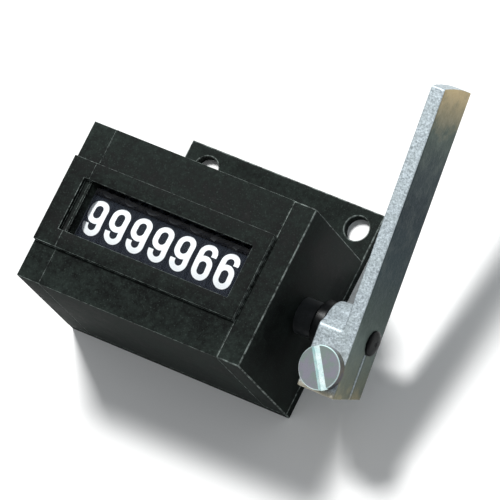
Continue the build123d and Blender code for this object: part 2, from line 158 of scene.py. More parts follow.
def linear(hex_colour):
    """Linear RGBA from an sRGB hex colour."""
    parts = [int(hex_colour[i:i + 2], 16) / 255 for i in (0, 2, 4)]
    return tuple(c / 12.92 if c <= 0.04045 else ((c + 0.055) / 1.055) ** 2.4 for c in parts) + (1.0,)


# ------------------------------------------------------------------ shaping helpers
def cut(bm, axis, places):
    """Cuts every face across, square to an axis, at each place."""
    normal = Vector((axis == "X", axis == "Y", axis == "Z"))
    for place in places:
        bmesh.ops.bisect_plane(
            bm, geom=bm.verts[:] + bm.edges[:] + bm.faces[:], dist=TOUCH,
            plane_co=normal * place, plane_no=normal)


def block(bm, low, high):
    """Box between two corners."""
    low, high = Vector(low), Vector(high)
    size = high - low
    place = Matrix.Translation((low + high) / 2) @ Matrix.Diagonal((*size, 1.0))
    return bmesh.ops.create_cube(bm, size=1.0, matrix=place)["verts"]


def moved(bm, made, by):
    """Moves the new vertices of an extrusion."""
    verts = [part for part in made["geom"] if isinstance(part, bmesh.types.BMVert)]
    bmesh.ops.translate(bm, vec=by, verts=verts)


def drop(bm, test):
    """Deletes the faces whose middle passes a test."""
    gone = [f for f in bm.faces if test(f.calc_center_median())]
    bmesh.ops.delete(bm, geom=gone, context="FACES")


def lift(bm, test, move):
    """Raises the faces whose middle passes a test, with walls at their rim."""
    chosen = [f for f in bm.faces if test(f.calc_center_median())]
    moved(bm, bmesh.ops.extrude_face_region(bm, geom=chosen), move)
    bmesh.ops.delete(bm, geom=[f for f in chosen if f.is_valid], context="FACES")


def sharp_edges(bm, angle):
    """Edges where two faces meet at more than an angle in degrees."""
    limit = math.radians(angle)
    return [e for e in bm.edges if len(e.link_faces) == 2 and e.calc_face_angle(0) > limit]


def round_edges(bm, width, angle=30):
    """Bevels the sharp edges, and marks the new faces for the pale edge colour: wear and a painted
    highlight.
    """
    wear_and_painted_light = bm.faces.layers.float.get("wear_and_painted_light") or bm.faces.layers.float.new("wear_and_painted_light")
    made = bmesh.ops.bevel(
        bm, geom=sharp_edges(bm, angle), offset=width, offset_type="OFFSET", affect="EDGES",
        segments=3, profile=0.5, material=-1, clamp_overlap=True)
    for face in made["faces"]:
        face[wear_and_painted_light] = 1.0


def thicken(bm):
    """Gives a skin the wall thickness of the moulding, and rounds its edges."""
    bmesh.ops.solidify(bm, geom=bm.faces[:], thickness=sizes().wall)
    bmesh.ops.recalc_face_normals(bm, faces=bm.faces)
    round_edges(bm, sizes().corner)


def flat_area(bm, rings):
    """Fills the area between closed rings of vertices."""
    edges = []
    for ring in rings:
        for start, end in zip(ring, ring[1:] + ring[:1]):
            edges.append(bm.edges.get((start, end)) or bm.edges.new((start, end)))
    bmesh.ops.triangle_fill(bm, use_beauty=True, use_dissolve=False, edges=edges)


def circle(bm, radius, place, segments):
    """Ring of vertices round a place, in the XY plane."""
    made = bmesh.ops.create_circle(bm, cap_ends=False, radius=radius, segments=segments,
                                   matrix=Matrix.Translation(place))
    return made["verts"]


def turned(bm, profile):
    """Closed solid turned about the shaft's axis: profile is a chain of (x, radius)."""
    verts = [bm.verts.new((x, 0, AXIS_HEIGHT + radius)) for x, radius in profile]
    edges = [bm.edges.new(pair) for pair in zip(verts, verts[1:])]
    bmesh.ops.spin(
        bm, geom=verts + edges, cent=(0, 0, AXIS_HEIGHT), axis=(1, 0, 0), angle=2 * math.pi,
        steps=TURNED, use_merge=True, use_duplicate=False)
    bmesh.ops.remove_doubles(bm, verts=bm.verts, dist=TOUCH)


def placed(bm, name):
    """Object with the shape in bm, in the scene."""
    mesh = bpy.data.meshes.new(name)
    bm.to_mesh(mesh)
    bm.free()
    thing = bpy.data.objects.new(name, mesh)
    bpy.context.scene.collection.objects.link(thing)
    return thing


def piece(bm, name, material, body, replaced=()):
    bmesh.ops.recalc_face_normals(bm, faces=bm.faces)
    thing = placed(bm, name)
    shade(thing.data, 35)
    thing.data.materials.append(material)
    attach(thing, body)
    if replaced:
        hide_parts(*replaced)
    return thing


def shade(mesh, angle):
    """Smooth shading, with creases where faces meet at more than an angle in degrees."""
    mesh.shade_smooth()
    mesh.set_sharp_from_angle(angle=math.radians(angle))


def apply_modifiers(thing):
    """Bakes a piece's modifiers into its mesh."""
    bpy.context.view_layer.update()
    graph = bpy.context.evaluated_depsgraph_get()
    mesh = bpy.data.meshes.new_from_object(thing.evaluated_get(graph))
    thing.modifiers.clear()
    thing.data = mesh


def carve(thing, bm):
    """Takes the shape in bm out of a piece."""
    bmesh.ops.recalc_face_normals(bm, faces=bm.faces)
    tool = placed(bm, "carving_tool")
    mesh = tool.data
    cutter = thing.modifiers.new("carve", "BOOLEAN")
    cutter.operation = "DIFFERENCE"
    cutter.solver = "EXACT"
    cutter.object = tool
    apply_modifiers(thing)
    bpy.data.objects.remove(tool)
    bpy.data.meshes.remove(mesh)


def lever_frame(tilt):
    """Turns shapes drawn along X, Y (along the arm) and Z (to the front) into the lever's rest place."""
    return Matrix.Translation((0, 0, AXIS_HEIGHT)) @ Matrix.Rotation(tilt, 4, "X")


# ------------------------------------------------------------------ materials
def add(material, kind, inputs=None, **properties):
    """Adds a node. inputs gives each socket a value, an output, or a node for its first output in use."""
    tree = material.node_tree
    node = tree.nodes.new("ShaderNode" + kind)
    for key, value in properties.items():
        setattr(node, key, value)
    for socket, value in (inputs or {}).items():
        if isinstance(value, bpy.types.Node):
            value = next(output for output in value.outputs if output.enabled)
        if isinstance(value, bpy.types.NodeSocket):
            tree.links.new(value, node.inputs[socket])
        else:
            node.inputs[socket].default_value = value
    return node


def blank(name):
    """Empty material, and the object coordinates that its patterns start from."""
    material = bpy.data.materials.new(name)
    material.use_nodes = True
    material.node_tree.nodes.clear()
    return material, add(material, "TexCoord").outputs["Object"]


def per(size):
    """Scale of a pattern whose features are a size across."""
    return 1 / size


# Ends of the lever's arm, measured from the shaft's axis along the arm.
FOOT_BACK, FOOT_FRONT = -13.5 * MM, -14.1 * MM
TIP_BACK, TIP_FRONT = 60.55 * MM, 59.95 * MM
# Colours painted on the arm's flat side, darkest half way along and tan at the ends as a painted warm
# reflection: (share of the length from foot to tip, sRGB hex).
FLAT_SIDE_RAMP = ((0.0, "96917a"), (1.0, "bfad86"), (0.05, "767c70"), (0.17, "6b7773"), (0.27, "4c5855"),
        (0.4, "38464a"), (0.6, "2c383e"), (0.74, "364245"), (0.85, "4e5a54"), (0.93, "8f876d"))

# The Mix node for colours, and its sockets: how much, from and to.
RGBA = {"data_type": "RGBA"}
MIX, FROM, TO = 0, 6, 7


def moulded_plastic(name, base, bloom, edge_wear_and_light, roughness=0.66, bloom_share=0.6, gleam=0.06):
    """Moulded black plastic: a satin skin that holds a grey bloom of dust, pale at its edges from wear and
    as a painted highlight.
    """
    material, place = blank(name)
    # Dust settles in clouds a few millimetres across, broken by a finer mottle.
    clouds = add(material, "TexNoise",
                 {"Vector": place, "Scale": per(7 * MM), "Detail": 7.0, "Roughness": 0.66,
                  "Distortion": 0.4})
    mottle = add(material, "TexNoise",
                 {"Vector": place, "Scale": per(1.2 * MM), "Detail": 4.0, "Roughness": 0.72})
    # The eroded skin has grit of about 0.3 mm, a little coarser than real so that it shows.
    grit = add(material, "TexNoise",
               {"Vector": place, "Scale": per(0.3 * MM), "Detail": 2.0, "Roughness": 0.5})
    both = add(material, "Math",
               {0: clouds, 1: mottle}, operation="MULTIPLY")
    # The colour runs lighter and rougher over the last few millimetres before each long side.
    parts = add(material, "SeparateXYZ", {"Vector": place})
    outward = add(material, "Math", {0: parts.outputs["Y"]}, operation="ABSOLUTE")
    near_side = add(material, "MapRange", {
        "Value": outward, "From Min": 13 * MM, "From Max": COVER_HIGH.y, "To Max": 0.07})
    mottle_with_side_band = add(material, "Math", {0: both, 1: near_side}, operation="ADD")
    dust = add(material, "MapRange",
               {"Value": mottle_with_side_band, "From Min": 0.19, "From Max": 0.46,
                "To Max": bloom_share})
    dusted = add(material, "Mix",
                 {MIX: dust, FROM: linear(base), TO: linear(bloom)}, **RGBA)
    # Single pale specks, a third of a millimetre across.
    specks = add(material, "MapRange",
                 {"Value": grit, "From Min": 0.62, "From Max": 0.72, "To Max": 0.8})
    specked = add(material, "Mix",
                  {MIX: specks, FROM: dusted, TO: linear(bloom)}, **RGBA)
    # Pale edges, from wear and as a painted highlight: the bevelled faces carry an attribute for them, and
    # the mottle breaks it up.
    edge = add(material, "Attribute", attribute_name="wear_and_painted_light")
    breaks = add(material, "MapRange",
                 {"Value": mottle, "From Min": 0.4, "From Max": 0.62, "To Min": 0.1, "To Max": 0.9})
    edge_rub_and_light = add(material, "Math",
              {0: edge.outputs["Fac"], 1: breaks}, operation="MULTIPLY")
    coloured = add(material, "Mix",
                   {MIX: edge_rub_and_light, FROM: specked, TO: linear(edge_wear_and_light)}, **RGBA)
    gloss = add(material, "MapRange",
                {"Value": mottle_with_side_band, "From Min": 0.16, "From Max": 0.4,
                 "To Min": roughness - 0.12, "To Max": roughness + 0.14})
    bump = add(material, "Bump",
               {"Height": grit, "Strength": 0.4, "Distance": 0.03 * MM})
    shader = add(material, "BsdfPrincipled",
                 {"Base Color": coloured, "Roughness": gloss,
                  "Normal": bump, "IOR": 1.54, "Specular IOR Level": gleam})
    add(material, "OutputMaterial", {"Surface": shader})
    return material


def cast_zinc(name="Die-cast zinc alloy"):
    """Zinc die casting: bright grainy skin; the lever's flat outer side is painted darker half way along
    and tan at its ends, the tan a painted reflection.
    """
    material, place = blank(name)
    # The chilled skin shows grains of about 0.45 mm, and stains a few millimetres across.
    grain = add(material, "TexNoise",
                {"Vector": place, "Scale": per(0.45 * MM), "Detail": 5.0, "Roughness": 0.72})
    stain = add(material, "TexNoise",
                {"Vector": place, "Scale": per(4 * MM), "Detail": 4.0, "Roughness": 0.6})
    pits = add(material, "TexVoronoi", {"Vector": place, "Scale": per(0.9 * MM)})
    shadow = add(material, "MapRange",
                 {"Value": grain, "From Min": 0.38, "From Max": 0.62, "To Min": 0.8, "To Max": 0.0})
    skin = add(material, "Mix",
               {MIX: shadow, FROM: linear(colours().zinc), TO: linear(colours().zinc_dark)}, **RGBA)
    tinted = add(material, "MapRange",
                 {"Value": stain, "From Min": 0.4, "From Max": 0.75, "To Max": 0.4})
    stained = add(material, "Mix",
                  {MIX: tinted, FROM: skin, TO: linear("a9b4b4")}, **RGBA)
    pitted = add(material, "MapRange",
                 {"Value": pits, "From Min": 0.02, "From Max": 0.16, "To Min": 0.5, "To Max": 0.0})
    bright = add(material, "Mix",
                 {MIX: pitted, FROM: stained, TO: linear("7a8082")}, **RGBA)
    # The cut foot of the clamp block is painted tan, a painted warm reflection.
    turn = Matrix.Rotation(-sizes().lever_tilt, 4, "X")
    along = add(material, "Mapping", {
        "Vector": place, "Rotation": (-sizes().lever_tilt, 0, 0),
        "Location": turn @ Vector((0, 0, -AXIS_HEIGHT))})
    parts = add(material, "SeparateXYZ", {"Vector": along})
    foot = add(material, "MapRange",
               {"Value": parts.outputs["Y"], "From Min": FOOT_BACK, "From Max": FOOT_BACK + 1.2 * MM,
                "To Min": 0.5, "To Max": 0.0})
    bright = add(material, "Mix",
                 {MIX: foot, FROM: bright, TO: linear("cdb98c")}, **RGBA)
    # The flat side's colour: darkest half way along the arm; tan at its tip and at the clamp, a painted
    # warm reflection.
    length = add(material, "MapRange",
                 {"Value": parts.outputs["Y"], "From Min": FOOT_FRONT, "From Max": TIP_BACK})
    ragged = add(material, "Math",
                 {0: stain, 1: 0.16, 2: -0.08}, operation="MULTIPLY_ADD")
    drifted = add(material, "Math", {0: length, 1: ragged}, operation="ADD")
    tone = add(material, "ValToRGB", {"Fac": drifted})
    stops = tone.color_ramp.elements
    for place_along, colour in FLAT_SIDE_RAMP:
        stop = stops[0] if place_along == 0 else stops[1] if place_along == 1 else stops.new(place_along)
        stop.color = linear(colour)
    worn_through = add(material, "MapRange",
                       {"Value": stain, "From Min": 0.45, "From Max": 0.8, "To Max": 0.5})
    streaked = add(material, "Mix",
                   {MIX: worn_through, FROM: tone, TO: linear("5f6866")}, **RGBA)
    side = add(material, "MapRange",
               {"Value": parts.outputs["X"], "From Min": LEVER_HIGH.x - 0.2 * MM,
                "From Max": LEVER_HIGH.x - 0.08 * MM})
    coloured = add(material, "Mix",
                   {MIX: side, FROM: bright, TO: streaked}, **RGBA)
    gloss = add(material, "MapRange",
                {"Value": grain, "From Min": 0.3, "From Max": 0.7, "To Min": 0.52, "To Max": 0.7})
    # The skin is dimpled by shrinkage, a millimetre or so apart, under the finer grain.
    dimples = add(material, "TexNoise",
                  {"Vector": place, "Scale": per(1.3 * MM), "Detail": 3.0, "Roughness": 0.55})
    uneven = add(material, "Bump",
                 {"Height": dimples, "Strength": 0.5, "Distance": 0.25 * MM})
    bump = add(material, "Bump",
               {"Height": grain, "Strength": 0.5, "Distance": 0.06 * MM,
                "Normal": uneven})
    shader = add(material, "BsdfPrincipled",
                 {"Base Color": coloured, "Metallic": 1.0, "Roughness": gloss,
                  "Normal": bump})
    add(material, "OutputMaterial", {"Surface": shader})
    return material


def plated_steel(name="Zinc-plated steel", base=None, tint="9daba6", roughness=0.42):
    """Zinc-plated steel: turned or drawn bright, with faint violet and green passivation in patches."""
    material, place = blank(name)
    patch = add(material, "TexNoise",
                {"Vector": place, "Scale": per(2.2 * MM), "Detail": 3.0, "Roughness": 0.55})
    mark = add(material, "TexNoise",
               {"Vector": place, "Scale": per(0.3 * MM), "Detail": 3.0, "Roughness": 0.65})
    share = add(material, "MapRange",
                {"Value": patch, "From Min": 0.4, "From Max": 0.6})
    tone = add(material, "Mix",
               {MIX: share, FROM: linear(base or colours().plating), TO: linear(tint)}, **RGBA)
    scuff = add(material, "MapRange",
                {"Value": mark, "From Min": 0.55, "From Max": 0.7, "To Max": 0.35})
    coloured = add(material, "Mix",
                   {MIX: scuff, FROM: tone, TO: linear("7e7c88")}, **RGBA)
    gloss = add(material, "MapRange",
                {"Value": mark, "From Min": 0.3, "From Max": 0.7,
                 "To Min": roughness - 0.06, "To Max": roughness + 0.1})
    bump = add(material, "Bump",
               {"Height": mark, "Strength": 0.2, "Distance": 0.02 * MM})
    shader = add(material, "BsdfPrincipled",
                 {"Base Color": coloured, "Metallic": 1.0, "Roughness": gloss,
                  "Normal": bump})
    add(material, "OutputMaterial", {"Surface": shader})
    return material


def blackened_steel(name="Blackened steel", dark="090a0b", light="191b1c"):
    """Black oxide on turned steel: nearly black, with a low gloss."""
    material, place = blank(name)
    mark = add(material, "TexNoise",
               {"Vector": place, "Scale": per(0.5 * MM), "Detail": 4.0, "Roughness": 0.6})
    share = add(material, "MapRange",
                {"Value": mark, "From Min": 0.4, "From Max": 0.7})
    coloured = add(material, "Mix",
                   {MIX: share, FROM: linear(dark), TO: linear(light)}, **RGBA)
    gloss = add(material, "MapRange",
                {"Value": mark, "From Min": 0.3, "From Max": 0.7, "To Min": 0.28, "To Max": 0.42})
    shader = add(material, "BsdfPrincipled",
                 {"Base Color": coloured, "Roughness": gloss, "Specular IOR Level": 0.15})
    add(material, "OutputMaterial", {"Surface": shader})
    return material


def printed_white(name="Pad-printed white ink"):
    """White ink on the wheels: flat and even, with the faintest unevenness in the film."""
    material, place = blank(name)
    tone = add(material, "TexNoise",
               {"Vector": place, "Scale": per(1.5 * MM), "Detail": 3.0, "Roughness": 0.5})
    share = add(material, "MapRange",
                {"Value": tone, "From Min": 0.4, "From Max": 0.7, "To Max": 0.5})
    coloured = add(material, "Mix",
                   {MIX: share, FROM: linear(colours().numerals), TO: linear("e6eef0")}, **RGBA)
    shader = add(material, "BsdfPrincipled",
                 {"Base Color": coloured, "Roughness": 0.55})
    add(material, "OutputMaterial", {"Surface": shader})
    return material


def clear_acrylic(name="Clear acrylic"):
    """Thin moulded acrylic: nearly invisible, with a sharp gloss and a little haze, and a dark band painted
    along its upper part as shade.
    """
    material, place = blank(name)
    haze = add(material, "TexNoise",
               {"Vector": place, "Scale": per(3 * MM), "Detail": 4.0, "Roughness": 0.6})
    gloss = add(material, "MapRange",
                {"Value": haze, "From Min": 0.3, "From Max": 0.7, "To Min": 0.03, "To Max": 0.12})
    # Painted shade: a dark, nearly opaque band across the pane under the window's upper edge hides the row
    # of numerals that comes next.
    parts = add(material, "SeparateXYZ", {"Vector": place})
    shade_band = add(material, "MapRange",
                {"Value": parts.outputs["Y"], "From Min": 4.3 * MM, "From Max": 5.6 * MM})
    shade_darkening = add(material, "MapRange", {"Value": shade_band, "From Max": 0.12})
    tint = add(material, "Mix",
               {MIX: shade_darkening, FROM: linear("8f9bb0"), TO: linear("0d0f16")}, **RGBA)
    shade_cover = add(material, "MapRange", {"Value": shade_band, "To Min": 0.03, "To Max": 0.7})
    shader = add(material, "BsdfPrincipled",
                 {"Base Color": tint, "Roughness": gloss, "IOR": 1.49,
                  "Alpha": shade_cover})
    add(material, "OutputMaterial", {"Surface": shader})
    return material


def natural_acetal(name="Natural acetal"):
    """Undyed acetal: waxy off-white, a little cloudy."""
    material, place = blank(name)
    cloud = add(material, "TexNoise", {"Vector": place, "Scale": per(2 * MM), "Detail": 2.0})
    coloured = add(material, "Mix",
                   {MIX: cloud, FROM: linear("e8e3d6"), TO: linear("d5cfbf")}, **RGBA)
    shader = add(material, "BsdfPrincipled",
                 {"Base Color": coloured, "Roughness": 0.38, "IOR": 1.48})
    add(material, "OutputMaterial", {"Surface": shader})
    return material


def painted_floor(name="Painted board"):
    """Matt painted studio board."""
    material, place = blank(name)
    roll = add(material, "TexNoise", {"Vector": place, "Scale": per(60 * MM), "Detail": 2.0})
    coloured = add(material, "Mix",
                   {MIX: roll, FROM: linear(colours().floor), TO: linear("f6f6f5")}, **RGBA)
    shader = add(material, "BsdfPrincipled",
                 {"Base Color": coloured, "Roughness": 0.85, "Specular IOR Level": 0.2})
    add(material, "OutputMaterial", {"Surface": shader})
    return material


FINISHES = {}


def finish(name):
    """The finish of that name, made once."""
    makers = {
        "case": lambda: moulded_plastic(
            "Moulded ABS, black", colours().case, colours().dust, colours().wear_and_painted_light),
        "wheel": lambda: moulded_plastic(
            "Moulded acetal, black", colours().wheels, "1d2026", "2c2f36", roughness=0.8, bloom_share=0.5,
            gleam=0.05),
        "zinc": cast_zinc,
        "plated": plated_steel,
        "spring": lambda: plated_steel("Drawn spring steel", "9da0a4", "8a8e93", 0.22),
        # Near-white steel for the slot and the head's rim: partly bare milled steel, partly a painted
        # highlight and reflection.
        "cut": lambda: plated_steel("Milled steel slot, painted highlight", "f2fbfa", "d8efee", 0.6),
        # A darker, warmer copy of the plating for the head's side wall: painted shade with a painted warm
        # reflection.
        "wall": lambda: plated_steel("Plated steel, painted shade and reflection", "5b5862", "6a6558", 0.34),
        "black": blackened_steel,
        # Painted highlight: the bush lies in the case's shade, and is coloured a lighter grey so that it
        # shows a highlight.
        "bush": lambda: moulded_plastic(
            "Moulded acetal, polished, painted highlight", "222527", "3a3e41", "54585b", roughness=0.4, gleam=0.5),
        "ink": printed_white,
        "pane": clear_acrylic,
        "acetal": natural_acetal,
        "floor": painted_floor,
    }
    if name not in FINISHES:
        FINISHES[name] = makers[name]()
    return FINISHES[name]


# ------------------------------------------------------------------ the case
SCREW_PLACES = ((-12.0, 16.6), (12.0, 16.6), (21.6, -16.4), (-26.4, 16.4), (-26.4, -16.4))
SCREW_HEAD = 2.45 * MM


def flange_holes():
    """Middles of the two mounting holes, from the record's bolt pattern."""
    mount = next(m for m in frame["record"]["mounts"] if m["name"] == "flange_holes")
    x, y = mount["pos_m"][:2]
    half = mount["dims"]["spacing_x_mm"] * MM / 2
    return [(x - half, y), (x + half, y)]


class COUNTER_OT_base_frame(bpy.types.Operator):
    """Moulds the back plate with its flange and holes, and the right end of the case"""
    bl_idname = "counter.base_frame"
    bl_label = "Base frame"

    def execute(self, context):
        size = sizes()
        bm = bmesh.new()
        corners = [
            (BASE_LOW.x, BASE_LOW.y), (BASE_HIGH.x, BASE_LOW.y), (BASE_HIGH.x, BASE_HIGH.y),
            (size.flange_left, BASE_HIGH.y), (size.flange_left, COVER_HIGH.y), (BASE_LOW.x, COVER_HIGH.y)]
        rings = [[bm.verts.new((x, y, 0)) for x, y in corners]]
        rings += [circle(bm, size.flange_hole, (x, y, 0), ROUND) for x, y in flange_holes()]
        rings += [circle(bm, SCREW_HEAD, (x * MM, y * MM, 0), 48) for x, y in SCREW_PLACES]
        flat_area(bm, rings)
        lift(bm, lambda middle: True, (0, 0, PLATE_TOP))
        bmesh.ops.recalc_face_normals(bm, faces=bm.faces)
        round_edges(bm, size.corner, angle=60)
        piece(bm, "back_plate", finish("case"), "case", ["base_frame"])
        bm = bmesh.new()
        block(bm, (COVER_HIGH.x, BASE_LOW.y, PLATE_TOP), (BASE_HIGH.x, COVER_HIGH.y, BASE_HIGH.z))
        drop(bm, lambda middle: middle.x < COVER_HIGH.x + TOUCH or middle.z < PLATE_TOP + TOUCH)
        thicken(bm)
        piece(bm, "right_end", finish("case"), "case", ["base_frame"])
        return {"FINISHED"}


class COUNTER_OT_centre_cover(bpy.types.Operator):
    """Moulds the front and sides of the case, with the band and the window opening"""
    bl_idname = "counter.centre_cover"
    bl_label = "Centre cover"

    def execute(self, context):
        size = sizes()
        top = COVER_HIGH.z - size.band_height
        bm = bmesh.new()
        block(bm, COVER_LOW, (COVER_HIGH.x, COVER_HIGH.y, top))
        cut(bm, "Y", [-size.band_half, -size.window_half, size.window_half, size.band_half])
        cut(bm, "X", [size.window_left, size.window_right])

        def outer_wall(middle):
            return abs(middle.x) > COVER_HIGH.x - TOUCH or middle.z < COVER_LOW.z + TOUCH

        def in_window(middle):
            return (abs(middle.y) < size.window_half and middle.z > top - TOUCH
                    and size.window_left < middle.x < size.window_right)

        def on_band(middle):
            in_recess = abs(middle.y) < size.window_half and middle.x < size.window_left
            return abs(middle.y) < size.band_half and middle.z > top - TOUCH and not in_recess

        drop(bm, lambda middle: outer_wall(middle) or in_window(middle))
        lift(bm, on_band, (0, 0, size.band_height))
        # The band's right end wall runs on down behind the right end's rim, so that no gap shows.
        foot = [e for e in bm.edges if e.is_boundary and all(
            v.co.x > COVER_HIGH.x - TOUCH and abs(v.co.z - top) < TOUCH
            and abs(v.co.y) < size.band_half + TOUCH for v in e.verts)]
        moved(bm, bmesh.ops.extrude_edge_only(bm, edges=foot), (0, 0, -size.wall))
        bmesh.ops.recalc_face_normals(bm, faces=bm.faces)
        thicken(bm)
        # Painted light: the band's right end wall and its foot lie in shade, and are given the pale edge
        # colour at 0.8 so that they read lighter.
        wear_and_painted_light = bm.faces.layers.float["wear_and_painted_light"]
        for face in bm.faces:
            middle = face.calc_center_median()
            if middle.x > COVER_HIGH.x - TOUCH and middle.z > top:
                face[wear_and_painted_light] = 0.8
        piece(bm, "centre_cover_moulding", finish("case"), "case", ["centre_cover"])
        return {"FINISHED"}


class COUNTER_OT_left_end_cap(bpy.types.Operator):
    """Moulds the closed left end, with the band and the shallow recess running on over it"""
    bl_idname = "counter.left_end_cap"
    bl_label = "Left end cap"

    def execute(self, context):
        size = sizes()
        top = CAP_HIGH.z - size.band_height
        bm = bmesh.new()
        block(bm, CAP_LOW, (CAP_HIGH.x, CAP_HIGH.y, top))
        cut(bm, "Y", [-size.band_half, -size.window_half, size.window_half, size.band_half])
        cut(bm, "X", [size.notch_left])

        def on_band(middle):
            in_recess = abs(middle.y) < size.window_half and middle.x > size.notch_left
            return abs(middle.y) < size.band_half and middle.z > top - TOUCH and not in_recess

        drop(bm, lambda middle: middle.x > CAP_HIGH.x - TOUCH or middle.z < CAP_LOW.z + TOUCH)
        lift(bm, on_band, (0, 0, size.band_height))
        bmesh.ops.recalc_face_normals(bm, faces=bm.faces)
        thicken(bm)
        piece(bm, "left_end_cap_moulding", finish("case"), "case", ["left_end_cap"])
        return {"FINISHED"}


# ------------------------------------------------------------------ numerals
LONGEST = 0.8 * MM      # longest step of a straight stroke, so that it bends round the wheel


def draw(bm, start, heading, width, moves, height):
    """Draws a flat stroke: a move is a straight length, or a bend (radius, angle, left positive)."""
    here = Vector((*start, height))
    heading = math.radians(heading)
    side = Vector((-math.sin(heading), math.cos(heading), 0))
    ends = [bm.verts.new(here + side * width / 2), bm.verts.new(here - side * width / 2)]
    edge = bm.edges.new(ends)
    for move in moves:
        forward = Vector((math.cos(heading), math.sin(heading), 0))
        side = Vector((-forward.y, forward.x, 0))
        if isinstance(move, tuple):
            radius, turn = move[0], math.radians(move[1])
            middle = here + side * math.copysign(radius, turn)
            swept = bmesh.ops.spin(
                bm, geom=[*edge.verts, edge], cent=middle, axis=(0, 0, 1), angle=turn,
                steps=max(3, round(abs(move[1]) / 10)), use_merge=False, use_duplicate=False)
            edge = next(g for g in swept["geom_last"] if isinstance(g, bmesh.types.BMEdge))
            heading += turn
            here = Matrix.Rotation(turn, 3, "Z") @ (here - middle) + middle
        else:
            steps = max(1, math.ceil(move / LONGEST))
            for _ in range(steps):
                made = bmesh.ops.extrude_edge_only(bm, edges=[edge])
                moved(bm, made, forward * (move / steps))
                edge = next(part for part in made["geom"] if isinstance(part, bmesh.types.BMEdge))
            here = here + forward * move


def strokes(digit, high, wide, pen):
    """Pen strokes of a numeral about its own middle: (start, heading, moves) for each."""
    r = (wide - pen) / 2
    t = (high - pen) / 2
    waist = 0.3 * MM
    tail = 0.45 * MM
    bowl = 1.25 * MM
    if digit == 0:
        return [((r, 0), 90, [t - r, (r, 180), 2 * (t - r), (r, 180), t - r])]
    if digit == 1:
        return [((0.2 * r, -high / 2), 90, [high]), ((0.2 * r, t), 218, [1.35 * r])]
    if digit == 2:
        return [((-r, t - r - tail), 90, [tail, (r, -205), 4.05 * r]), ((-wide / 2, -t), 0, [wide])]
    if digit == 3:
        drop_in = t - 2 * r - waist
        return [((-r, t - r - tail), 90, [tail, (r, -180), drop_in, (r, -90)]),
                ((-r, r + tail - t), -90, [tail, (r, 180), t + waist - 2 * r, (r, 90)])]
    if digit == 4:
        return [((0.55 * r, high / 2), -112, [0.66 * high]), ((-wide / 2, -0.3 * t), 0, [wide]),
                ((0.6 * r, -high / 2), 90, [0.62 * high])]
    if digit == 5:
        shelf = 0.95 * MM
        return [((wide / 2 - 0.2 * MM, t), 180, [wide - 0.2 * MM]),
                ((-r, high / 2), -90, [high / 2 - shelf]),
                ((-r, shelf), 0, [r, (r, -90), t + shelf - 2 * r, (r, -180), tail])]
    if digit == 6:
        return [((-x, -y), heading + 180, moves) for (x, y), heading, moves in strokes(9, high, wide, pen)]
    if digit == 7:
        return [((-wide / 2, t), 0, [wide]),
                ((0.95 * r, t), -108, [(high - pen / 2) / math.sin(math.radians(72))])]
    if digit == 8:
        return [((r, t - r), 90, [(r, 180), t - waist - 2 * r, (r, 180), t - waist - 2 * r]),
                ((r, r - t), 90, [t + waist - 2 * r, (r, 180), t + waist - 2 * r, (r, 180)])]
    return [((-r, r + tail - t), -90, [tail, (r, 180), 2 * (t - r), (r, 180), bowl]),
            ((-r, t - r - bowl), -90, [(r, 172)])]


class COUNTER_OT_numerals(bpy.types.Operator):
    """Prints ten numerals round each wheel, with the shown one in the window"""
    bl_idname = "counter.numerals"
    bl_label = "Numerals"

    def execute(self, context):
        size = sizes()
        ink = 0.04 * MM
        lap = 0.004 * MM        # each stroke of a numeral lies this much over the one before
        fall = math.radians(1.0)
        for wheel, shown in zip(WHEEL_NAMES, SHOWN):
            low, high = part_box(f"{wheel}_wheel")
            radius = (high.z - low.z) / 2
            bm = bmesh.new()
            for digit in range(10):
                turn = fall - math.radians(36 * (digit - shown))
                old = set(bm.verts)
                for layer, (start, heading, moves) in enumerate(
                        strokes(digit, size.digit_height, size.digit_width, size.digit_stroke)):
                    draw(bm, start, heading, size.digit_stroke, moves, layer * lap)
                for vert in bm.verts:
                    if vert not in old:
                        across, round_by, over = vert.co
                        vert.co = Matrix.Rotation(turn - round_by / radius, 3, "X") @ Vector(
                            (across, 0, radius + ink + over))
            bmesh.ops.translate(bm, vec=((low.x + high.x) / 2, 0, AXIS_HEIGHT), verts=bm.verts)
            bmesh.ops.remove_doubles(bm, verts=bm.verts, dist=1e-6)
            face_out(bm)
            bmesh.ops.solidify(bm, geom=bm.faces[:], thickness=ink)
            piece(bm, f"{wheel}_numerals", finish("ink"), f"{wheel}_wheel")
        return {"FINISHED"}


def face_out(bm):
    """Turns every face away from the shaft's axis."""
    turned_in = []
    for face in bm.faces:
        face.normal_update()
        middle = face.calc_center_median()
        if face.normal.dot(Vector((0, middle.y, middle.z - AXIS_HEIGHT))) < 0:
            turned_in.append(face)
    bmesh.ops.reverse_faces(bm, faces=turned_in)


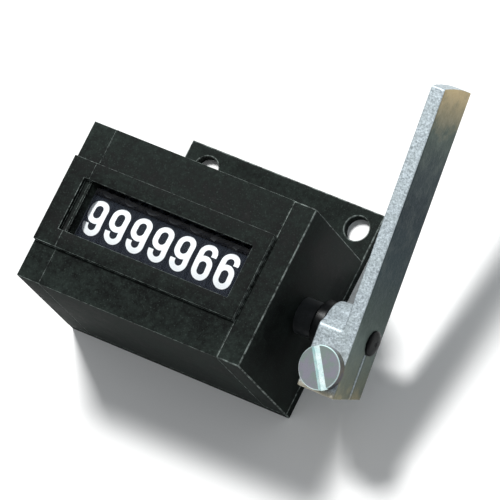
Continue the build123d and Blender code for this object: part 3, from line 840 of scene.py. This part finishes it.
# ------------------------------------------------------------------ shaft, bush and collar
class COUNTER_OT_shaft_fittings(bpy.types.Operator):
    """Turns the shaft, its bush and the collar beside the lever"""
    bl_idname = "counter.shaft_fittings"
    bl_label = "Shaft fittings"

    def execute(self, context):
        bore = (SHAFT_HIGH.z - SHAFT_LOW.z) / 2
        bush = (BUSH_HIGH.z - BUSH_LOW.z) / 2
        rim = (COLLAR_HIGH.z - COLLAR_LOW.z) / 2
        edge, gap = 0.4 * MM, 0.05 * MM
        spigot, sunk = 3.9 * MM, 2.5 * MM       # the bush's thin end, and how deep its thick end sits
        inner, seat = bore + gap, BASE_HIGH.x - sunk
        bm = bmesh.new()
        turned(bm, [
            (BUSH_LOW.x, inner), (BUSH_LOW.x, spigot), (seat, spigot), (seat, bush),
            (BUSH_HIGH.x - edge, bush), (BUSH_HIGH.x, bush - edge), (BUSH_HIGH.x, inner),
            (BUSH_LOW.x, inner)])
        piece(bm, "bearing_bush_turned", finish("bush"), "case", ["bearing_bush"])
        bm = bmesh.new()
        turned(bm, [
            (COLLAR_LOW.x, bore), (COLLAR_LOW.x, rim - edge), (COLLAR_LOW.x + edge, rim),
            (COLLAR_HIGH.x - edge, rim), (COLLAR_HIGH.x, rim - edge), (COLLAR_HIGH.x, bore),
            (COLLAR_LOW.x, bore)])
        piece(bm, "shaft_collar_turned", finish("black"), "drive", ["shaft_collar"])
        bm = bmesh.new()
        end = SHAFT_HIGH.x
        turned(bm, [
            (SHAFT_LOW.x, 0), (SHAFT_LOW.x, bore), (end - 0.55 * MM, bore),
            (end - 0.2 * MM, bore - 0.3 * MM), (end - 0.05 * MM, bore - 0.8 * MM),
            (end, bore - 1.6 * MM), (end, 0.7 * MM), (end - 0.5 * MM, 0)])
        piece(bm, "drive_shaft_turned", finish("black"), "drive", ["drive_shaft"])
        return {"FINISHED"}


# ------------------------------------------------------------------ lever and clamp screw
ARM_BACK, ARM_FRONT = -4.7 * MM, 9.8 * MM
ARM_THICKNESS = 3.6 * MM
BLOCK_LEFT, BLOCK_SHELF = 38.6 * MM, 0.9 * MM
SCREW_X, SCREW_ALONG = 43.5 * MM, -8.3 * MM
SHANK = 3.0 * MM
SLOT_TURN = math.radians(-58.7)
HUB_RADIUS, HUB_ROOT = 6.4 * MM, 7.0 * MM
SLIT = (0.85 * MM, 1.65 * MM)
TIP_BOW = 0.45 * MM
# Outline of the clamp block, (along the arm, to the front), with the slope that runs down to the hub.
BLOCK = ((FOOT_BACK, ARM_BACK), (FOOT_FRONT, ARM_FRONT), (BLOCK_SHELF, ARM_FRONT), (3.0 * MM, 7.3 * MM),
         (4.7 * MM, 4.4 * MM), (0, 0), (-1.5 * MM, ARM_BACK))
SKIN_GRAIN = 0.24 * MM      # size of the cells that the casting is fused from
LAP = 1 * MM                # how far the pieces of the casting run into each other
CLEAR = 2 * MM              # how far a cutter runs past what it cuts
FIT = 0.03 * MM


def prism(bm, outline, low, high):
    """Straight prism along X over an outline of (along the arm, to the front)."""
    face = bm.faces.new([bm.verts.new((low, u, v)) for u, v in outline])
    moved(bm, bmesh.ops.extrude_face_region(bm, geom=[face]), (high - low, 0, 0))


def rod(bm, radius, low, high, radius_high):
    """Round rod along X about the shaft's axis in the lever's own frame."""
    place = Matrix.Translation(((low + high) / 2, 0, 0)) @ Matrix.Rotation(math.pi / 2, 4, "Y")
    bmesh.ops.create_cone(
        bm, cap_ends=True, segments=ROUND, radius1=radius, radius2=radius_high,
        depth=high - low, matrix=place)


def upright(bm, radius, low, high):
    """Round rod along the clamp screw's axis."""
    place = Matrix.Translation((SCREW_X, SCREW_ALONG, (low + high) / 2))
    bmesh.ops.create_cone(
        bm, cap_ends=True, segments=ROUND, radius1=radius, radius2=radius, depth=high - low, matrix=place)


def arm_solid(bm, left, right):
    """Flat bar of the arm, with leaning ends and a bowed tip."""
    steps = 16
    block(bm, (left, 0, ARM_BACK), (right, 1, ARM_FRONT))
    cut(bm, "Z", [ARM_BACK + (ARM_FRONT - ARM_BACK) * i / steps for i in range(1, steps)])
    for vert in bm.verts:
        share = (vert.co.z - ARM_BACK) / (ARM_FRONT - ARM_BACK)
        tip = TIP_BACK + (TIP_FRONT - TIP_BACK) * share + TIP_BOW * (1 - (2 * share - 1) ** 2)
        foot = FOOT_BACK + (FOOT_FRONT - FOOT_BACK) * share
        vert.co.y = tip if vert.co.y > 0.5 else foot


class COUNTER_OT_lever(bpy.types.Operator):
    """Casts the lever: bowed arm, tapered hub and slit clamp block in one skin"""
    bl_idname = "counter.lever"
    bl_label = "Lever"

    def execute(self, context):
        arm_left = LEVER_HIGH.x - ARM_THICKNESS
        bore = (SHAFT_HIGH.z - SHAFT_LOW.z) / 2
        bm = bmesh.new()
        arm_solid(bm, arm_left, LEVER_HIGH.x)
        rod(bm, HUB_RADIUS, COLLAR_HIGH.x, LEVER_HIGH.x - LAP, HUB_ROOT)
        prism(bm, BLOCK, BLOCK_LEFT, LEVER_HIGH.x - LAP)
        casting = piece(bm, "lever_casting", finish("zinc"), "drive", ["lever"])
        skin = casting.modifiers.new("skin", "REMESH")
        skin.mode = "VOXEL"
        skin.voxel_size = SKIN_GRAIN
        apply_modifiers(casting)
        bm = bmesh.new()
        bm.from_mesh(casting.data)
        flow_into_arm(bm, arm_left)
        bm.to_mesh(casting.data)
        bm.free()
        bm = bmesh.new()
        rod(bm, bore + FIT, COLLAR_HIGH.x - CLEAR, LEVER_HIGH.x + CLEAR, bore + FIT)
        carve(casting, bm)
        bm = bmesh.new()
        block(bm, (COLLAR_HIGH.x - CLEAR, FOOT_FRONT - CLEAR, SLIT[0]),
              (LEVER_HIGH.x + CLEAR, -LAP, SLIT[1]))
        carve(casting, bm)
        # The slit's lips are broken on the flat side.
        lip, flare = 0.35 * MM, 0.7 * MM
        bm = bmesh.new()
        lips = block(bm, (LEVER_HIGH.x - lip, FOOT_FRONT - CLEAR, SLIT[0]),
                     (LEVER_HIGH.x + lip, -bore, SLIT[1]))
        for vert in lips:
            if vert.co.x > LEVER_HIGH.x:
                vert.co.z += math.copysign(flare, vert.co.z - sum(SLIT) / 2)
        carve(casting, bm)
        bm = bmesh.new()
        upright(bm, SHANK + FIT, ARM_BACK - CLEAR, ARM_FRONT + CLEAR)
        carve(casting, bm)
        casting.data.transform(lever_frame(sizes().lever_tilt))
        shade(casting.data, 40)
        return {"FINISHED"}


def flow_into_arm(bm, arm_left):
    """Softens the casting round its hub and block, and leaves the arm's own edges crisp."""
    above, below, reach, rim = 0.6 * MM, 0.3 * MM, 13 * MM, 0.4 * MM
    soft = [
        v for v in bm.verts
        if v.co.x < arm_left + above and (v.co.x < arm_left - below or v.co.yz.length < reach)
        and abs(v.co.z - ARM_BACK) > rim]
    for _ in range(6):
        bmesh.ops.smooth_vert(bm, verts=soft, factor=0.5, use_axis_x=True, use_axis_y=True, use_axis_z=True)


class COUNTER_OT_clamp_screw(bpy.types.Operator):
    """Turns the cheese-head screw and mills its slot"""
    bl_idname = "counter.clamp_screw"
    bl_label = "Clamp screw"

    def execute(self, context):
        head, tall, rim = 5.15 * MM, 2.6 * MM, 0.22 * MM
        slot_half, slot_deep, near = 0.95 * MM, 1.3 * MM, 0.02 * MM
        top, point = ARM_FRONT + tall, ARM_BACK + 0.6 * MM
        bm = bmesh.new()
        profile = [
            (0, top), (head - rim, top), (head, top - rim),
            (head, ARM_FRONT), (SHANK, ARM_FRONT), (SHANK, point), (0, point)]
        verts = [bm.verts.new((SCREW_X + radius, SCREW_ALONG, v)) for radius, v in profile]
        edges = [bm.edges.new(pair) for pair in zip(verts, verts[1:])]
        bmesh.ops.spin(
            bm, geom=verts + edges, cent=(SCREW_X, SCREW_ALONG, 0), axis=(0, 0, 1), angle=2 * math.pi,
            steps=TURNED, use_merge=True, use_duplicate=False)
        bmesh.ops.remove_doubles(bm, verts=bm.verts, dist=TOUCH)
        screw = piece(bm, "clamp_screw_turned", finish("plated"), "drive", ["clamp_screw"])
        bm = bmesh.new()
        block(bm, (-2 * head, -slot_half, top - slot_deep), (2 * head, slot_half, top + tall))
        place = Matrix.Translation((SCREW_X, SCREW_ALONG, 0)) @ Matrix.Rotation(SLOT_TURN, 4, "Z")
        bmesh.ops.transform(bm, matrix=place, verts=bm.verts)
        carve(screw, bm)
        for kind in ("cut", "wall"):
            screw.data.materials.append(finish(kind))
        across = place.to_3x3() @ Vector((0, 1, 0))
        middle = Vector((SCREW_X, SCREW_ALONG, 0))
        for face in screw.data.polygons:
            offset = face.center - middle
            in_slot = abs(offset.dot(across)) < slot_half + near
            below_top = top - offset.z
            # The slot and the rim's chamfer take the near-white steel, partly as a painted highlight.
            if near < below_top < slot_deep + rim and (in_slot or below_top < rim):
                face.material_index = 1
            # The side wall and the shank take the darker copy of the plating as painted shade and warm
            # reflection.
            elif below_top > rim:
                face.material_index = 2
        screw.data.transform(lever_frame(sizes().lever_tilt))
        shade(screw.data, 30)
        return {"FINISHED"}


# ------------------------------------------------------------------ pieces kept as the frame has them
class COUNTER_OT_inner_works(bpy.types.Operator):
    """Gives the pieces kept from the frame their finishes"""
    bl_idname = "counter.inner_works"
    bl_label = "Inner works"

    def execute(self, context):
        kept = {
            "pane": ["window_pane"],
            "black": ["case_screws"],
            "wheel": [f"{name}_wheel" for name in WHEEL_NAMES],
            "acetal": [f"{name}_pinion" for name in WHEEL_NAMES[1:]],
            "plated": ["pinion_shaft", "ratchet_wheel", "pawl_carrier", "drive_pawl", "holding_pawl",
                       "drive_pawl_pin", "holding_pawl_pin", "stroke_stops"],
            "spring": ["return_spring", "drive_pawl_spring", "holding_pawl_spring", "retaining_ring"],
        }
        for kind, names in kept.items():
            for name in names:
                materials = NODES[name].data.materials
                materials.clear()
                materials.append(finish(kind))
        return {"FINISHED"}


# ------------------------------------------------------------------ studio
FLOOR_HALF, FLOOR_GAP = 3.0, 0.05 * MM      # half the floor's side, and its depth below the mounting face
TARGET = Vector((10.8, 9.4, 19.0)) * MM     # what the camera and the light face
KEY_PLACE, KEY_WIDTH, KEY_POWER = (-0.48, 0.51, 1.15), 0.26, 20.5
FILL = 0.44                                 # strength of the studio's pale surroundings
VIEW = (66.96, 63.22, -42.5)                # the camera's azimuth, elevation and roll, in degrees
DISTANCE, LENS = 1315.8 * MM, 414.0


def soft_light(name, place, target, width, power):
    """Square soft box at a place, facing a target."""
    light = bpy.data.lights.new(name, "AREA")
    light.shape = "SQUARE"
    light.size = width
    light.energy = power
    lamp = bpy.data.objects.new(name, light)
    lamp.location = place
    lamp.rotation_euler = (Vector(place) - Vector(target)).to_track_quat("Z", "Y").to_euler()
    bpy.context.scene.collection.objects.link(lamp)


class COUNTER_OT_stage(bpy.types.Operator):
    """Lays the pale floor, hangs the soft light and sets the camera"""
    bl_idname = "counter.stage"
    bl_label = "Stage"

    def execute(self, context):
        bm = bmesh.new()
        bmesh.ops.create_grid(bm, x_segments=1, y_segments=1, size=FLOOR_HALF,
                              matrix=Matrix.Translation((0, 0, -FLOOR_GAP)))
        floor = placed(bm, "floor")
        floor.data.materials.append(finish("floor"))
        soft_light("key", KEY_PLACE, TARGET, KEY_WIDTH, KEY_POWER)
        world = bpy.data.worlds.new("studio")
        world.use_nodes = True
        background = world.node_tree.nodes["Background"]
        background.inputs["Color"].default_value = linear("eef1f4")
        background.inputs["Strength"].default_value = FILL
        context.scene.world = world
        azimuth, elevation, roll = map(math.radians, VIEW)
        outward = Vector((math.sin(azimuth) * math.cos(elevation), -math.cos(azimuth) * math.cos(elevation),
                          math.sin(elevation)))
        camera = bpy.data.objects.new("camera", bpy.data.cameras.new("camera"))
        camera.data.lens = LENS
        camera.data.sensor_width = 36.0
        camera.data.clip_start = 0.05
        camera.location = TARGET + outward * DISTANCE
        aim = outward.to_track_quat("Z", "Y") @ Quaternion((0, 0, 1), roll)
        camera.rotation_euler = aim.to_euler()
        context.scene.collection.objects.link(camera)
        context.scene.camera = camera
        context.scene.view_settings.view_transform = "Standard"
        return {"FINISHED"}


class COUNTER_PT_panel(bpy.types.Panel):
    """Lists the counter's pieces, sizes and colours"""
    bl_idname = "COUNTER_PT_panel"
    bl_label = "Row counter"
    bl_space_type = "VIEW_3D"
    bl_region_type = "UI"
    bl_category = "Row counter"

    def draw(self, context):
        for group in (sizes(), colours()):
            box = self.layout.box()
            for name in group.__annotations__:
                box.prop(group, name)
        for operator in OPERATORS:
            self.layout.operator(operator.bl_idname)


OPERATORS = (
    COUNTER_OT_stage, COUNTER_OT_base_frame, COUNTER_OT_centre_cover, COUNTER_OT_left_end_cap,
    COUNTER_OT_numerals, COUNTER_OT_shaft_fittings, COUNTER_OT_lever, COUNTER_OT_clamp_screw,
    COUNTER_OT_inner_works)
CLASSES = (CounterSizes, CounterColours, *OPERATORS, COUNTER_PT_panel)


def register():
    for cls in CLASSES:
        bpy.utils.register_class(cls)
    bpy.types.Scene.counter_sizes = bpy.props.PointerProperty(type=CounterSizes)
    bpy.types.Scene.counter_colours = bpy.props.PointerProperty(type=CounterColours)


def unregister():
    del bpy.types.Scene.counter_colours
    del bpy.types.Scene.counter_sizes
    for cls in reversed(CLASSES):
        bpy.utils.unregister_class(cls)


def main():
    register()
    bpy.ops.counter.stage()
    bpy.ops.counter.base_frame()
    bpy.ops.counter.centre_cover()
    bpy.ops.counter.left_end_cap()
    bpy.ops.counter.numerals()
    bpy.ops.counter.shaft_fittings()
    bpy.ops.counter.lever()
    bpy.ops.counter.clamp_screw()
    bpy.ops.counter.inner_works()


if __name__ == "__main__":
    main()
